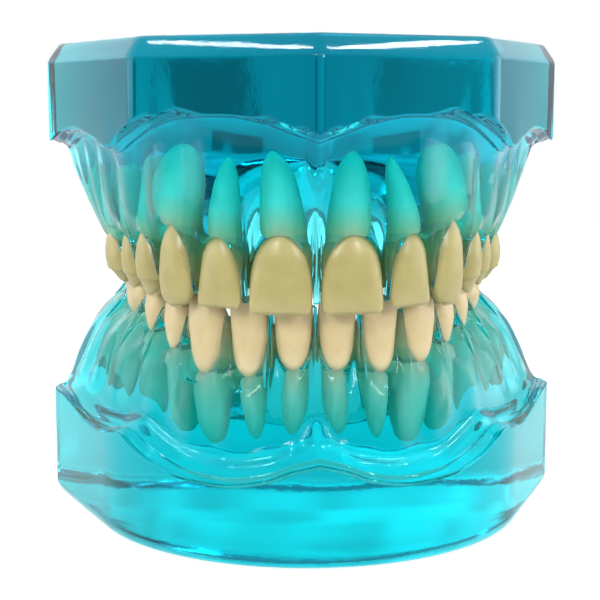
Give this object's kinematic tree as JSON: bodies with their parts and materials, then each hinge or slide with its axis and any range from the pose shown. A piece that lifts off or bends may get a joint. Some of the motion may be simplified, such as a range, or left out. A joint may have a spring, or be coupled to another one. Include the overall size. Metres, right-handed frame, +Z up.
{
  "type": "typodont model",
  "caption": "Life-size closed pair of clear blue-green resin jaws with ivory teeth cast into them, roots showing, on flat trimmed bases; the upper half lifts off.",
  "frame": {"origin": "on the resting face of the lower base, under the middle of the closed pair", "axes": "+Z up from the resting face, incisors towards -Y, flat backs towards +Y, patient's right side towards -X"},
  "size_m": [0.0776, 0.0588, 0.0693],
  "materials": {
    "lower_resin": "clear cast resin, tinted bright cyan, glossy and smooth",
    "upper_resin": "clear cast resin, tinted deeper teal, glossy and smooth",
    "lower_tooth": "ivory tooth resin, glossy crown and satin root",
    "upper_tooth": "ivory tooth resin, glossy crown and satin root"
  },
  "bodies": {
    "lower_jaw": {"lower_jaw_base": "lower_resin", "lower_right_central_incisor": "lower_tooth", "lower_right_lateral_incisor": "lower_tooth", "lower_right_canine": "lower_tooth", "lower_right_first_premolar": "lower_tooth", "lower_right_second_premolar": "lower_tooth", "lower_right_first_molar": "lower_tooth", "lower_right_second_molar": "lower_tooth", "lower_left_central_incisor": "lower_tooth", "lower_left_lateral_incisor": "lower_tooth", "lower_left_canine": "lower_tooth", "lower_left_first_premolar": "lower_tooth", "lower_left_second_premolar": "lower_tooth", "lower_left_first_molar": "lower_tooth", "lower_left_second_molar": "lower_tooth"},
    "upper_jaw": {"upper_jaw_base": "upper_resin", "upper_right_central_incisor": "upper_tooth", "upper_right_lateral_incisor": "upper_tooth", "upper_right_canine": "upper_tooth", "upper_right_first_premolar": "upper_tooth", "upper_right_second_premolar": "upper_tooth", "upper_right_first_molar": "upper_tooth", "upper_right_second_molar": "upper_tooth", "upper_left_central_incisor": "upper_tooth", "upper_left_lateral_incisor": "upper_tooth", "upper_left_canine": "upper_tooth", "upper_left_first_premolar": "upper_tooth", "upper_left_second_premolar": "upper_tooth", "upper_left_first_molar": "upper_tooth", "upper_left_second_molar": "upper_tooth"}
  },
  "joints": [
    {"name": "upper_jaw_lift", "type": "slide", "parent": "lower_jaw", "child": "upper_jaw", "axis": [0, 0, 1], "range_m": [0, 0.05]}
  ]
}
